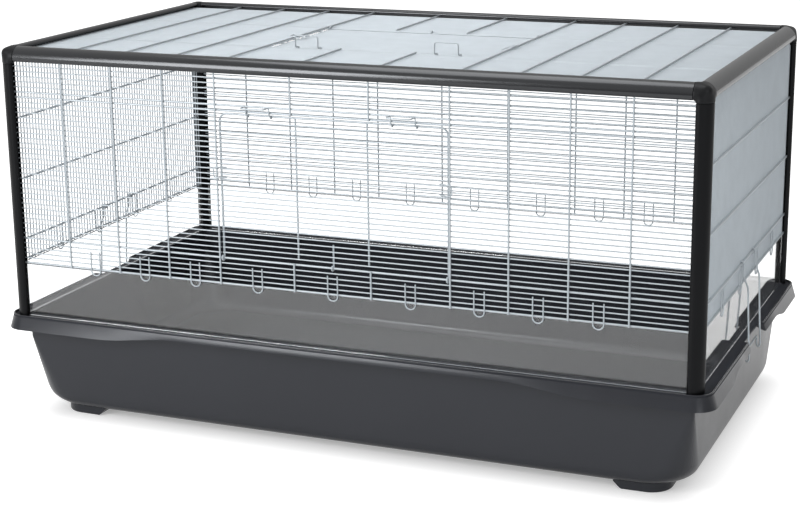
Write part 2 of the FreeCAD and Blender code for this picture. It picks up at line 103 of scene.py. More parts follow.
def roundBends(points, bend, steps):
    # each inner corner becomes an arc of the bend radius, or of what its sides leave room for
    points = [Vector(p) for p in points]
    path = [points[0]]
    for before, corner, after in zip(points, points[1:], points[2:]):
        back = before - corner
        ahead = after - corner
        half = back.angle(ahead) / 2
        if half > math.radians(bentWire["flat"]):
            path.append(corner)
            continue
        room = min(back.length * bentWire["share"], ahead.length * bentWire["share"])
        reach = min(bend / math.tan(half), room)
        back.normalize()
        ahead.normalize()
        radius = reach * math.tan(half)
        centre = corner + (back + ahead).normalized() * (radius / math.sin(half))
        first = corner + back * reach - centre
        sweep = math.pi - half * 2
        for step in range(steps + 1):
            turn = sweep * step / steps
            path.append(centre + first * math.cos(turn) - back * (radius * math.sin(turn)))
    return path + [points[-1]]


def addBentWires(bm, paths, radius):
    curve = bpy.data.curves.new("bentWire", "CURVE")
    curve.dimensions = "3D"
    curve.bevel_depth = radius
    curve.bevel_resolution = bentWire["roundness"]
    curve.use_fill_caps = True
    for path in paths:
        spline = curve.splines.new("POLY")
        spline.points.add(len(path) - 1)
        for point, place in zip(spline.points, path):
            point.co = (place[0], place[1], place[2], 1)
    temp = bpy.data.objects.new("bentWire", curve)
    bpy.context.scene.collection.objects.link(temp)
    mesh = bakedMesh(temp)
    bm.from_mesh(mesh)
    bpy.data.objects.remove(temp)
    bpy.data.curves.remove(curve)
    bpy.data.meshes.remove(mesh)


# Finishes

def newGroup(name, inputs, outputs):
    group = bpy.data.node_groups.new(name, "ShaderNodeTree")
    for label, kind, value in inputs:
        socket = group.interface.new_socket(name=label, in_out="INPUT", socket_type=kind)
        socket.default_value = value
    for label, kind in outputs:
        group.interface.new_socket(name=label, in_out="OUTPUT", socket_type=kind)
    return group, group.nodes.new("NodeGroupInput"), group.nodes.new("NodeGroupOutput")


def feed(tree, value, socket):
    if isinstance(value, (int, float)):
        socket.default_value = value
    else:
        tree.links.new(value, socket)


def noiseNode(tree, coordinate, detail, scale):
    noise = tree.nodes.new("ShaderNodeTexNoise")
    noise.inputs["Detail"].default_value = detail
    tree.links.new(coordinate, noise.inputs["Vector"])
    feed(tree, scale, noise.inputs["Scale"])
    return noise.outputs["Fac"]


def spreadNode(tree, factor, low, high):
    spread = tree.nodes.new("ShaderNodeMapRange")
    feed(tree, low, spread.inputs["To Min"])
    feed(tree, high, spread.inputs["To Max"])
    tree.links.new(factor, spread.inputs["Value"])
    return spread.outputs["Result"]


def mixNode(tree, factor, first, second):
    # the mix node's colour sockets are found by number, as its names repeat
    mix = tree.nodes.new("ShaderNodeMix")
    mix.data_type = "RGBA"
    tree.links.new(factor, mix.inputs["Factor"])
    tree.links.new(first, mix.inputs[6])
    tree.links.new(second, mix.inputs[7])
    return mix.outputs[2]


def mathNode(tree, operation, *values):
    node = tree.nodes.new("ShaderNodeMath")
    node.operation = operation
    for value, socket in zip(values, node.inputs):
        feed(tree, value, socket)
    return node.outputs[0]


mouldNoise = {"cloudDetail": 3.0, "cloudScale": 6.0, "marksDetail": 5.0, "marksScale": 28.0,
              "grainDetail": 2.0}


def makeMouldGrain():
    # moulded plastic: faint cloudiness from cooling, a fine grain, and handling marks in the gloss
    group, source, sink = newGroup("mouldGrain", [
        ("Tone", "NodeSocketColor", (0.05, 0.05, 0.05, 1)),
        ("Pale", "NodeSocketColor", (0.07, 0.07, 0.07, 1)),
        ("Rough Low", "NodeSocketFloat", 0.3), ("Rough High", "NodeSocketFloat", 0.4),
        ("Grain Scale", "NodeSocketFloat", 900.0)],
        [("Color", "NodeSocketColor"), ("Roughness", "NodeSocketFloat"), ("Height", "NodeSocketFloat")])
    place = group.nodes.new("ShaderNodeTexCoord").outputs["Object"]
    cloud = noiseNode(group, place, mouldNoise["cloudDetail"], mouldNoise["cloudScale"])
    marks = noiseNode(group, place, mouldNoise["marksDetail"], mouldNoise["marksScale"])
    grain = noiseNode(group, place, mouldNoise["grainDetail"], source.outputs["Grain Scale"])
    tone = mixNode(group, cloud, source.outputs["Tone"], source.outputs["Pale"])
    group.links.new(tone, sink.inputs["Color"])
    rough = spreadNode(group, marks, source.outputs["Rough Low"], source.outputs["Rough High"])
    group.links.new(rough, sink.inputs["Roughness"])
    group.links.new(grain, sink.inputs["Height"])
    return group


coatNoise = {"driftDetail": 2.0, "driftScale": 35.0, "mottleDetail": 4.0, "mottleScale": 420.0}


def makeWireCoat():
    # coated wire: slight drift in tone along the bars and a dull mottle in the coating
    group, source, sink = newGroup("wireCoat", [
        ("Tone", "NodeSocketColor", (0.6, 0.63, 0.66, 1)),
        ("Pale", "NodeSocketColor", (0.7, 0.73, 0.76, 1)),
        ("Rough Low", "NodeSocketFloat", 0.3), ("Rough High", "NodeSocketFloat", 0.45)],
        [("Color", "NodeSocketColor"), ("Roughness", "NodeSocketFloat"), ("Height", "NodeSocketFloat")])
    place = group.nodes.new("ShaderNodeTexCoord").outputs["Object"]
    drift = noiseNode(group, place, coatNoise["driftDetail"], coatNoise["driftScale"])
    mottle = noiseNode(group, place, coatNoise["mottleDetail"], coatNoise["mottleScale"])
    tone = mixNode(group, drift, source.outputs["Tone"], source.outputs["Pale"])
    group.links.new(tone, sink.inputs["Color"])
    rough = spreadNode(group, mottle, source.outputs["Rough Low"], source.outputs["Rough High"])
    group.links.new(rough, sink.inputs["Roughness"])
    group.links.new(mottle, sink.inputs["Height"])
    return group


reliefDepth = 0.2


def finishMaterial(name, group, values, bump, metallic=0.0, specular=0.5, sheen=(1, 1, 1, 1)):
    material = bpy.data.materials.new(name)
    material.use_nodes = True
    tree = material.node_tree
    shader = tree.nodes["Principled BSDF"]
    shader.inputs["Metallic"].default_value = metallic
    shader.inputs["Specular IOR Level"].default_value = specular
    shader.inputs["Specular Tint"].default_value = sheen
    effect = tree.nodes.new("ShaderNodeGroup")
    effect.node_tree = group
    for label, value in values.items():
        effect.inputs[label].default_value = value
    tree.links.new(effect.outputs["Color"], shader.inputs["Base Color"])
    tree.links.new(effect.outputs["Roughness"], shader.inputs["Roughness"])
    relief = tree.nodes.new("ShaderNodeBump")
    relief.inputs["Strength"].default_value = bump
    relief.inputs["Distance"].default_value = reliefDepth * mm
    tree.links.new(effect.outputs["Height"], relief.inputs["Height"])
    tree.links.new(relief.outputs["Normal"], shader.inputs["Normal"])
    return material


mouldGrain = makeMouldGrain()
wireCoat = makeWireCoat()

trayFinish = {"Tone": (0.0200, 0.0210, 0.0255, 1), "Pale": (0.0260, 0.0275, 0.0330, 1),
              "Rough Low": 0.21, "Rough High": 0.29, "Grain Scale": 1100.0}
# posts, rails and corners are one plastic: the rails' lower roughness and high specular paint the highlight
# they catch, and the posts' darker tone and low specular paint their shade
railLitFinish = {"Tone": (0.0035, 0.0035, 0.004, 1), "Pale": (0.006, 0.006, 0.007, 1),
               "Rough Low": 0.15, "Rough High": 0.22, "Grain Scale": 1400.0}
shadedPlasticFinish = {"Tone": (0.0025, 0.0025, 0.003, 1), "Pale": (0.0045, 0.0045, 0.005, 1),
              "Rough Low": 0.34, "Rough High": 0.44, "Grain Scale": 1400.0}
wireFinish = {"Tone": (0.43, 0.473, 0.507, 1), "Pale": (0.50, 0.548, 0.586, 1),
              "Rough Low": 0.34, "Rough High": 0.48}
coolSheen = (0.93, 0.96, 1.0, 1)

trayMaterial = finishMaterial("trayPlastic", mouldGrain, trayFinish,
                              bump=0.06, specular=0.36, sheen=coolSheen)
# lit and shaded copies of one plastic: the rails' copy paints a highlight, the posts' copy paints shade,
# and the corners' copy sits between them
railLitMaterial = finishMaterial("railPlasticLit", mouldGrain, railLitFinish,
                               bump=0.08, specular=0.62, sheen=coolSheen)
postShadedMaterial = finishMaterial("postPlasticShaded", mouldGrain, shadedPlasticFinish,
                              bump=0.08, specular=0.14, sheen=coolSheen)
cornerHalfLitMaterial = finishMaterial("cornerPlasticHalfLit", mouldGrain, shadedPlasticFinish,
                                bump=0.08, specular=0.22, sheen=coolSheen)
wireMaterial = finishMaterial("coatedWire", wireCoat, wireFinish, bump=0.10, metallic=0.35)

paneFinish = {
    "tint": (0.93, 0.94, 0.95, 1), "pale": (0.985, 0.99, 0.99, 1), "shade": (0.92, 0.93, 0.93, 1),
    "smudge": 0.02, "smudgeDetail": 4.0, "smudgeScale": 14.0, "ior": 1.49, "clear": 0.985,
}


def makePaneMaterial():
    material = bpy.data.materials.new("clearAcrylic")
    material.use_nodes = True
    tree = material.node_tree
    shader = tree.nodes["Principled BSDF"]
    shader.inputs["Transmission Weight"].default_value = paneFinish["clear"]
    shader.inputs["IOR"].default_value = paneFinish["ior"]
    place = tree.nodes.new("ShaderNodeTexCoord").outputs["Object"]
    smudge = noiseNode(tree, place, paneFinish["smudgeDetail"], paneFinish["smudgeScale"])
    tree.links.new(spreadNode(tree, smudge, 0.0, paneFinish["smudge"]), shader.inputs["Roughness"])
    tint = tree.nodes.new("ShaderNodeRGB").outputs[0]
    tint.default_value = paneFinish["tint"]
    pale = tree.nodes.new("ShaderNodeRGB").outputs[0]
    pale.default_value = paneFinish["pale"]
    tree.links.new(mixNode(tree, smudge, tint, pale), shader.inputs["Base Color"])
    # light reaches the tray through the sheet
    clear = tree.nodes.new("ShaderNodeBsdfTransparent")
    clear.inputs["Color"].default_value = paneFinish["shade"]
    choose = tree.nodes.new("ShaderNodeMixShader")
    tree.links.new(tree.nodes.new("ShaderNodeLightPath").outputs["Is Shadow Ray"], choose.inputs["Fac"])
    tree.links.new(shader.outputs["BSDF"], choose.inputs[1])
    tree.links.new(clear.outputs["BSDF"], choose.inputs[2])
    tree.links.new(choose.outputs["Shader"], tree.nodes["Material Output"].inputs["Surface"])
    return material


paneMaterial = makePaneMaterial()
for side in ("front", "back", "left", "right"):
    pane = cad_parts["pane_" + side]
    pane.data.materials.clear()
    pane.data.materials.append(paneMaterial)
print("finishes made")


# Tray: one moulding, its section carried round a rounded outline ring by ring

tray = {
    "lipX": 494.5, "lipY": 276.5, "tubX": 472.0, "tubY": 256.0, "lipCorner": 24.0, "tubCorner": 6.0,
    "floorCorner": 55.0, "cornerSteps": 10, "rim": 146.0, "foot": 12.0, "wall": 3.0, "ledge": 3.0,
    "endLean": 3.0, "sideLean": 4.0, "endBend": 26.0, "sideBend": 16.0, "upright": 34.0,
    "endTurns": range(10, 91, 10), "sideTurns": (25, 45, 65), "bandSteps": (-40, -9, -4, 0, 4),
    "skirtDeep": 18.0, "skirtShallow": 7.0, "skirtWall": 2.5, "flare": 5.5, "deepLength": 150.0,
    "taper": 120.0, "taperSteps": 8, "endDeep": 110.0, "endTaper": 52.0, "endShallow": 10.0,
    "beadWidth": 2.5, "beadRise": 2.0, "beadSlope": 0.3,
    "notchHalf": 46.0, "notchCorner": 6.0, "notchLedge": 14.0, "notchSlope": 9.0, "notchSteps": 4,
    "footLength": 70.0, "footWidth": 56.0, "footX": 403.0, "footY": 211.0, "footCorner": 30.0,
    "footCornerSteps": 8, "footRamp": 10.0, "footRound": 2.5, "footRoundSteps": 3,
    "edgeRound": 0.9, "edgeSteps": 2, "edgeAngle": 38.0, "sharpAngle": 40.0,
    "slack": 0.02, "margin": 0.5, "weld": 0.01,
}


def tubOutline(height, inset):
    # half length, half depth and corner radius of the tub at a height
    floor = tray["foot"] + inset
    rise = height - floor
    lean = 1 - min(1, rise / (tray["rim"] - tray["upright"] - floor))

    def bendIn(radius):
        return 0 if rise >= radius else radius - math.sqrt(radius ** 2 - (radius - rise) ** 2)

    halfX = tray["tubX"] - inset - tray["endLean"] * lean - bendIn(tray["endBend"] - inset)
    halfY = tray["tubY"] - inset - tray["sideLean"] * lean - bendIn(tray["sideBend"] - inset)
    return halfX, halfY, tray["tubCorner"] + (tray["floorCorner"] - tray["tubCorner"]) * lean - inset


def rimOutline(out):
    # the rim's outline, grown outwards from its lip
    return tray["lipX"] + out, tray["lipY"] + out, tray["lipCorner"] + out


def eased(distance, length):
    share = min(1, max(0, distance / length))
    return share * share * (3 - 2 * share)


def carryRing(bm, edges, state, outline, height, place=None):
    # extrudes the open edge and carries its ends, sides and corners to the next outline
    out = bmesh.ops.extrude_edge_only(bm, edges=edges)["geom"]
    verts = {g for g in out if isinstance(g, bmesh.types.BMVert)}
    ring = [g for g in out if isinstance(g, bmesh.types.BMEdge) and all(v in verts for v in g.verts)]
    halfX, halfY, radius = outline
    slack = tray["slack"]
    oldX, oldY = state[0] - state[2], state[1] - state[2]
    for vert in verts:
        signX = math.copysign(1, vert.co.x)
        signY = math.copysign(1, vert.co.y)
        overX = abs(vert.co.x) - oldX
        overY = abs(vert.co.y) - oldY
        if overX > -slack and overY > -slack:
            turn = math.atan2(max(overY, 0), max(overX, 0))
            vert.co.x = signX * (halfX - radius + radius * math.cos(turn))
            vert.co.y = signY * (halfY - radius + radius * math.sin(turn))
        elif overX > -slack:
            vert.co.x = signX * halfX
        else:
            vert.co.y = signY * halfY
        vert.co.z = height
        if place:
            place(vert)
    state[:] = outline
    return ring


def addFoot(bm, signX, signY):
    height = tray["foot"] + tray["wall"] / 2
    place = Matrix.Translation((signX * tray["footX"], signY * tray["footY"], height / 2))
    size = Matrix.Diagonal((tray["footLength"], tray["footWidth"], height, 1))
    made = bmesh.ops.create_cube(bm, size=1, matrix=place @ size)["verts"]
    edges = {e for v in made for e in v.link_edges}
    near = 1  # farther than this from the middle is a side, and lower than this is underneath

    def offset(edge):
        return (edge.verts[0].co + edge.verts[1].co) / 2 - place.translation

    def underneath(edge):
        return all(v.co.z < near for v in edge.verts)

    outer = [e for e in edges if offset(e).x * signX > near and offset(e).y * signY > near]
    inner = [e for e in edges if offset(e).x * signX < -near and underneath(e)]
    grown = set(made)
    cuts = ((outer, tray["footCorner"], tray["footCornerSteps"]), (inner, tray["footRamp"], 1))
    for chosen, width, steps in cuts:
        grown |= set(roundEdges(bm, chosen, width, steps)["verts"])
    low = {e for v in grown if v.is_valid for e in v.link_edges if underneath(e)}
    roundEdges(bm, list(low), tray["footRound"], tray["footRoundSteps"])


def buildTray():
    bm = bmesh.new()
    state = list(tubOutline(tray["foot"], 0))
    bmesh.ops.create_grid(bm, x_segments=1, y_segments=1, size=1)
    bmesh.ops.scale(bm, vec=(state[0], state[1], 1), verts=bm.verts)
    bmesh.ops.bevel(bm, geom=bm.verts[:], offset=state[2], offset_type="OFFSET",
                    segments=tray["cornerSteps"], profile=0.5, affect="VERTICES",
                    clamp_overlap=False, material=-1)
    bmesh.ops.translate(bm, vec=(0, 0, tray["foot"]), verts=bm.verts)

    def spaced(first, length, steps):
        return [first + length * step / steps for step in range(steps + 1)]

    # the skirt's tapers and the notch get edges of their own, cut across the floor before it is carried up
    wide = tray["lipX"] + tray["flare"] - tray["deepLength"]
    near = wide - tray["taper"]
    notchIn = tray["notchHalf"] - tray["notchCorner"]
    endWide = tray["lipY"] + tray["flare"] - tray["endDeep"]
    endNear = endWide - tray["endTaper"]
    tapers = spaced(near, tray["taper"], tray["taperSteps"])
    slopes = spaced(notchIn, tray["notchSlope"], tray["notchSteps"])
    endCuts = spaced(endNear, tray["endTaper"], tray["taperSteps"])
    for axis, cuts in ((Vector((1, 0, 0)), tapers), (Vector((0, 1, 0)), slopes + endCuts)):
        for cut in cuts:
            for sign in (-1, 1):
                bmesh.ops.bisect_plane(bm, geom=bm.verts[:] + bm.edges[:] + bm.faces[:],
                                       plane_co=axis * (cut * sign), plane_no=axis)
    ring = [e for e in bm.edges if e.is_boundary]
    notchX = tray["tubX"] + tray["notchLedge"]
    under = tray["rim"] - tray["ledge"]

    def keepNotch(height):
        def place(vert):
            if abs(vert.co.y) < slopes[-1] - tray["margin"]:
                ease = eased(abs(vert.co.y) - notchIn, tray["notchSlope"])
                vert.co.x = math.copysign(notchX + (abs(vert.co.x) - notchX) * ease, vert.co.x)
                vert.co.z = height + (vert.co.z - height) * ease
        return place

    def skirtEdge(vert):
        if abs(vert.co.y) < endWide - tray["margin"]:
            ease = eased(abs(vert.co.y) - endNear, tray["endTaper"])
            lift = (tray["skirtDeep"] - tray["endShallow"]) * (1 - ease)
            vert.co.z += lift
            vert.co.x -= math.copysign(tray["flare"] * lift / tray["skirtDeep"], vert.co.x)
        keepNotch(under)(vert)
        if abs(vert.co.y) > tray["tubY"] and abs(vert.co.x) < wide - tray["margin"]:
            ease = eased(abs(vert.co.x) - near, wide - near)
            drop = (tray["skirtDeep"] - tray["skirtShallow"]) * ease
            vert.co.z = tray["rim"] - tray["skirtShallow"] - drop

    def heights(inset):
        def along(radius, turns):
            rises = [1 - math.cos(math.radians(a)) for a in turns]
            return [tray["foot"] + inset + (radius - inset) * rise for rise in rises]

        ends = along(tray["endBend"], tray["endTurns"])
        sides = along(tray["sideBend"], tray["sideTurns"])
        band = tray["rim"] - tray["upright"]
        return sorted(ends + sides) + [band + step for step in tray["bandSteps"]]

    for height in heights(0):
        ring = carryRing(bm, ring, state, tubOutline(height, 0), height)
    ring = carryRing(bm, ring, state, tubOutline(under, 0), under)
    low = tray["rim"] - tray["skirtDeep"]
    skirtTop = tray["flare"] / tray["skirtDeep"] * tray["ledge"] - tray["skirtWall"]
    ring = carryRing(bm, ring, state, rimOutline(skirtTop), under, keepNotch(under))
    ring = carryRing(bm, ring, state, rimOutline(tray["flare"] - tray["skirtWall"]), low, skirtEdge)
    ring = carryRing(bm, ring, state, rimOutline(tray["flare"]), low, skirtEdge)
    ring = carryRing(bm, ring, state, rimOutline(0), tray["rim"], keepNotch(tray["rim"]))
    top = tray["rim"] + tray["beadRise"]
    inner = tray["beadWidth"]
    for out, height in ((-tray["beadSlope"], top), (tray["beadSlope"] - inner, top), (-inner, tray["rim"])):
        ring = carryRing(bm, ring, state, rimOutline(out), height, keepNotch(tray["rim"]))
    ring = carryRing(bm, ring, state, tubOutline(tray["rim"], tray["wall"]), tray["rim"])
    for height in reversed(heights(tray["wall"])):
        ring = carryRing(bm, ring, state, tubOutline(height, tray["wall"]), height)
    floor = tray["foot"] + tray["wall"]
    ring = carryRing(bm, ring, state, tubOutline(floor, tray["wall"]), floor)
    bmesh.ops.holes_fill(bm, edges=ring, sides=0)
    bmesh.ops.remove_doubles(bm, verts=bm.verts, dist=tray["weld"])
    bmesh.ops.dissolve_degenerate(bm, dist=tray["weld"], edges=bm.edges)
    for signX in (-1, 1):
        for signY in (-1, 1):
            addFoot(bm, signX, signY)
    bmesh.ops.recalc_face_normals(bm, faces=bm.faces)
    bmesh.ops.scale(bm, vec=(mm, mm, mm), verts=bm.verts)
    nodes = ("tray", "rim_front", "rim_back", "rim_left", "rim_right")
    sharp = tray["sharpAngle"]
    piece = addPiece("trayMoulding", bm, "tray_body", trayMaterial, nodes, sharp)
    rounding = piece.modifiers.new("edgeRound", "BEVEL")
    rounding.width = tray["edgeRound"] * mm
    rounding.segments = tray["edgeSteps"]
    rounding.limit_method = "ANGLE"
    rounding.angle_limit = math.radians(tray["edgeAngle"])


ledgeMattAndShade = {"spread": 0.8, "dull": 0.42, "sheen": -0.29}


def dullAndShadeLedge(material):
    # the ledge under the posts is made matt, and its specular level is lowered to paint the shade that
    # falls in it behind the raised bead
    tree = material.node_tree
    shader = tree.nodes["Principled BSDF"]
    parts = tree.nodes.new("ShaderNodeSeparateXYZ")
    tree.links.new(tree.nodes.new("ShaderNodeTexCoord").outputs["Object"], parts.inputs[0])
    height, spread = tray["rim"] * mm, ledgeMattAndShade["spread"] * mm
    onLedge = mathNode(tree, "COMPARE", parts.outputs["Z"], height, spread)
    gloss = shader.inputs["Roughness"]
    level = shader.inputs["Specular IOR Level"]
    matt = mathNode(tree, "MULTIPLY_ADD", onLedge, ledgeMattAndShade["dull"], gloss.links[0].from_socket)
    # the lowered specular level darkens the ledge as painted shade
    paintedShade = mathNode(tree, "MULTIPLY_ADD", onLedge, ledgeMattAndShade["sheen"], level.default_value)
    tree.links.new(matt, gloss)
    tree.links.new(paintedShade, level)


dullAndShadeLedge(trayMaterial)
buildTray()
print("tray built")


# Frame: oval grooved profile on three-way corner pieces

profile = {
    "postX": 474.0, "postY": 262.0, "rail": 511.0, "seat": 0.2, "wide": 24.0, "thick": 15.4,
    "sectionSides": 44, "sharpAngle": 32.0, "panelOffset": 1.5,
    "grooveFloor": 4.0, "grooveIn": 2.7, "grooveOut": 4.2, "grooveRun": 1200.0,
    "cornerReach": 13.0, "cornerProud": 0.45, "blend": 0.7, "elbow": 8.6, "elbowDetail": 4,
    "elbowReach": 7.0, "elbowStub": 1.0, "elbowSmooth": 8, "smoothing": 0.5, "elbowSharp": 60.0,
}


def ovalBar(bm, start, end, out, proud=0):
    # the wide way of the oval lies across the cage's outer edge
    start = Vector(start)
    end = Vector(end)
    along = (end - start).normalized()
    out = Vector(out).normalized()
    across = out.cross(along)
    place = Matrix((across, out, along)).transposed().to_4x4()
    place.translation = start
    made = bmesh.ops.create_circle(bm, cap_ends=True, segments=profile["sectionSides"], radius=1)["verts"]
    bmesh.ops.scale(bm, vec=(profile["wide"] / 2 + proud, profile["thick"] / 2 + proud, 1), verts=made)
    bmesh.ops.transform(bm, matrix=place, verts=made)
    face = made[0].link_faces[0]
    far = bmesh.ops.extrude_face_region(bm, geom=[face], use_keep_orig=True)["geom"]
    bmesh.ops.translate(bm, vec=end - start, verts=[g for g in far if isinstance(g, bmesh.types.BMVert)])


def addBlock(bm, low, high):
    low = Vector(low)
    high = Vector(high)
    size = high - low
    place = Matrix.Translation((low + high) / 2) @ Matrix.Diagonal((size.x, size.y, size.z, 1))
    bmesh.ops.create_cube(bm, size=1, matrix=place)


def addCopy(bm, other):
    mesh = bpy.data.meshes.new("spare")
    other.to_mesh(mesh)
    other.free()
    bm.from_mesh(mesh)
    bpy.data.meshes.remove(mesh)


def profilePiece(name, start, end, out, material, grooves):
    bm = bmesh.new()
    ovalBar(bm, start, end, out)
    bmesh.ops.recalc_face_normals(bm, faces=bm.faces)
    bmesh.ops.scale(bm, vec=(mm, mm, mm), verts=bm.verts)
    bar = tempObject(bm)
    for low, high in grooves:
        cutter = bmesh.new()
        addBlock(cutter, low, high)
        bmesh.ops.recalc_face_normals(cutter, faces=cutter.faces)
        bmesh.ops.scale(cutter, vec=(mm, mm, mm), verts=cutter.verts)
        tool = tempObject(cutter)
        cut = bar.modifiers.new("groove", "BOOLEAN")
        cut.operation = "DIFFERENCE"
        cut.solver = "EXACT"
        cut.object = tool
        mesh = bakedMesh(bar)
        old = bar.data
        bar.modifiers.clear()
        bar.data = mesh
        bpy.data.meshes.remove(old)
        dropObject(tool)
    mesh = bar.data
    bpy.data.objects.remove(bar)
    sharp = profile["sharpAngle"]
    addMesh(name + "Profile", mesh, "cage_body", material, (name,), sharp)


def buildElbows(leftRight, signX):
    # three oval arms and a rounded shell at each corner, melted together
    bm = bmesh.new()
    for signY in (-1, 1):
        centre = Vector((signX * profile["postX"], signY * profile["postY"], profile["rail"]))
        shell = bmesh.new()
        arms = (((-signX, 0, 0), (0, signY, 1)), ((0, -signY, 0), (signX, 0, 1)),
                ((0, 0, -1), (signX, signY, 0)))
        for way, out in arms:
            way = Vector(way)
            stub = centre + way * (profile["elbowReach"] - profile["elbowStub"])
            ovalBar(shell, stub, centre + way * profile["elbowReach"], out, profile["cornerProud"])
            ovalBar(bm, stub, centre + way * profile["cornerReach"], out, profile["cornerProud"])
        bmesh.ops.create_icosphere(shell, subdivisions=profile["elbowDetail"], radius=profile["elbow"],
                                   matrix=Matrix.Translation(centre))
        hull = bmesh.ops.convex_hull(shell, input=shell.verts)
        spare = hull["geom_interior"] + hull["geom_unused"]
        spare = [g for g in spare if isinstance(g, bmesh.types.BMVert)]
        bmesh.ops.delete(shell, geom=spare, context="VERTS")
        addCopy(bm, shell)
    bmesh.ops.recalc_face_normals(bm, faces=bm.faces)
    bmesh.ops.scale(bm, vec=(mm, mm, mm), verts=bm.verts)
    lump = tempObject(bm)
    blend = lump.modifiers.new("blend", "REMESH")
    blend.mode = "VOXEL"
    blend.voxel_size = profile["blend"] * mm
    mesh = bakedMesh(lump)
    dropObject(lump)
    bm = bmesh.new()
    bm.from_mesh(mesh)
    bpy.data.meshes.remove(mesh)
    for step in range(profile["elbowSmooth"]):
        bmesh.ops.smooth_vert(bm, verts=bm.verts, factor=profile["smoothing"],
                              use_axis_x=True, use_axis_y=True, use_axis_z=True)
    addPiece("corner_%sElbows" % leftRight, bm, "cage_body", cornerHalfLitMaterial,
             ("corners_" + leftRight,), profile["elbowSharp"])


def groove(centre, inward, normal):
    # a slot from the floor towards the inside, either side of the panel's plane
    far = profile["grooveRun"]
    low, high = [-far] * 3, [far] * 3
    for axis in range(3):
        if inward[axis]:
            depths = (profile["grooveFloor"], profile["wide"])
            low[axis], high[axis] = sorted(centre[axis] + inward[axis] * depth for depth in depths)
        if normal[axis]:
            plane = centre[axis] + normal[axis] * profile["panelOffset"]
            ends = (plane - normal[axis] * profile["grooveIn"], plane + normal[axis] * profile["grooveOut"])
            low[axis], high[axis] = sorted(ends)
    return low, high


def buildFrame():
    x, y, z = profile["postX"], profile["postY"], profile["rail"]
    gap = profile["cornerReach"] + profile["seat"]
    footing = tray["rim"] + profile["seat"]
    for frontBack, signY in (("front", -1), ("back", 1)):
        for leftRight, signX in (("left", -1), ("right", 1)):
            centre = (signX * x, signY * y, 0)
            grooves = [groove(centre, (-signX, 0, 0), (0, signY, 0)),
                       groove(centre, (0, -signY, 0), (signX, 0, 0))]
            profilePiece("post_%s_%s" % (frontBack, leftRight), (signX * x, signY * y, footing),
                         (signX * x, signY * y, z - gap), (signX, signY, 0), postShadedMaterial, grooves)
        centre = (0, signY * y, z)
        grooves = [groove(centre, (0, 0, -1), (0, signY, 0)), groove(centre, (0, -signY, 0), (0, 0, 1))]
        profilePiece("rail_" + frontBack, (gap - x, signY * y, z), (x - gap, signY * y, z), (0, signY, 1),
                     railLitMaterial, grooves)
    for leftRight, signX in (("left", -1), ("right", 1)):
        centre = (signX * x, 0, z)
        grooves = [groove(centre, (0, 0, -1), (signX, 0, 0)), groove(centre, (-signX, 0, 0), (0, 0, 1))]
        profilePiece("rail_" + leftRight, (signX * x, gap - y, z), (signX * x, y - gap, z), (signX, 0, 1),
                     railLitMaterial, grooves)
        buildElbows(leftRight, signX)


buildFrame()
print("frame built")


# Wire panels: close rows with thicker wires across their outside

wire = {
    "row": 0.9, "cross": 1.2, "edge": 1.4, "rowPitch": 7.0, "sidePitch": 7.2, "bottom": 221.7,
    "hingeRows": 5, "doorRows": 28, "headerRows": 1, "topRows": 5, "rowClear": 15.0, "seat": 0.2,
    "wideBay": 107.5, "narrowBay": 76.6, "narrowBays": 3, "sideLow": 28.0, "sideStep": 85.0, "sideBars": 3,
    "hatchHinge": 88.0, "sides": 10, "sharpAngle": 50.0, "curlSteps": 20, "curlLeast": 4, "bailSteps": 6,
}
panelX = profile["postX"] + profile["panelOffset"]
panelY = profile["postY"] + profile["panelOffset"]
roofHeight = profile["rail"] + profile["panelOffset"]
hingeHeight = wire["bottom"] + wire["rowPitch"] * wire["hingeRows"]
wireLow = wire["bottom"] - wire["edge"]
edgeIn = wire["row"] - wire["edge"]
doorBar = wire["wideBay"] * 1.5  # the upright beside the door
doorEdge = doorBar - wire["cross"]
crossPlaces = [wire["wideBay"] / 2]
crossPlaces += [doorBar + wire["narrowBay"] * n for n in range(wire["narrowBays"] + 1)]
sideHalf = wire["row"] + wire["edge"]

# panels are laid out flat: x along, y up or forwards, z out of the cage
panelPlaces = {
    "front": lambda x, y, z: (x * mm, (-panelY - z) * mm, y * mm),
    "back": lambda x, y, z: (-x * mm, (panelY + z) * mm, y * mm),
    "right": lambda x, y, z: ((panelX + z) * mm, x * mm, y * mm),
    "left": lambda x, y, z: ((-panelX - z) * mm, -x * mm, y * mm),
    "roof": lambda x, y, z: (-x * mm, -y * mm, (roofHeight + z) * mm),
}


def onPanel(side, points):
    return [Vector(panelPlaces[side](*p)) for p in points]


def layBar(bm, side, start, end, radius):
    a, b = onPanel(side, (start, end))
    addBar(bm, a, b, radius * mm, wire["sides"])


def inGroove(line):
    return line - profile["grooveFloor"] - wire["seat"]


def addWire(name, bm, body, node):
    addPiece(name, bm, body, wireMaterial, (node,), wire["sharpAngle"])


def longPanel(side, lowRow, highRow, lowEnd, highEnd, origin, hasDoor, hasEdge):
    bm = bmesh.new()
    reach = inGroove(profile["postX"])
    thick = [lowRow] if hasEdge else []
    if hasDoor:
        thick += [0, wire["doorRows"], wire["doorRows"] + wire["headerRows"]]
    for row in range(lowRow, highRow + 1):
        y = origin + row * wire["rowPitch"]
        if row in thick:
            layBar(bm, side, (-reach, y, edgeIn), (reach, y, edgeIn), wire["edge"])
        elif hasDoor and 0 < row < wire["doorRows"]:
            layBar(bm, side, (-reach, y, 0), (-doorEdge, y, 0), wire["row"])
            layBar(bm, side, (doorEdge, y, 0), (reach, y, 0), wire["row"])
        else:
            layBar(bm, side, (-reach, y, 0), (reach, y, 0), wire["row"])
    out = wire["row"] + wire["cross"]
    for place in crossPlaces:
        for x in (-place, place):
            spans = [(lowEnd, highEnd)]
            if hasDoor and place < doorEdge:
                header = origin + wire["rowPitch"] * wire["doorRows"] - wire["edge"]
                spans = [(lowEnd, origin + wire["edge"]), (header, highEnd)]
            for low, high in spans:
                layBar(bm, side, (x, low, out), (x, high, out), wire["cross"])
    return bm


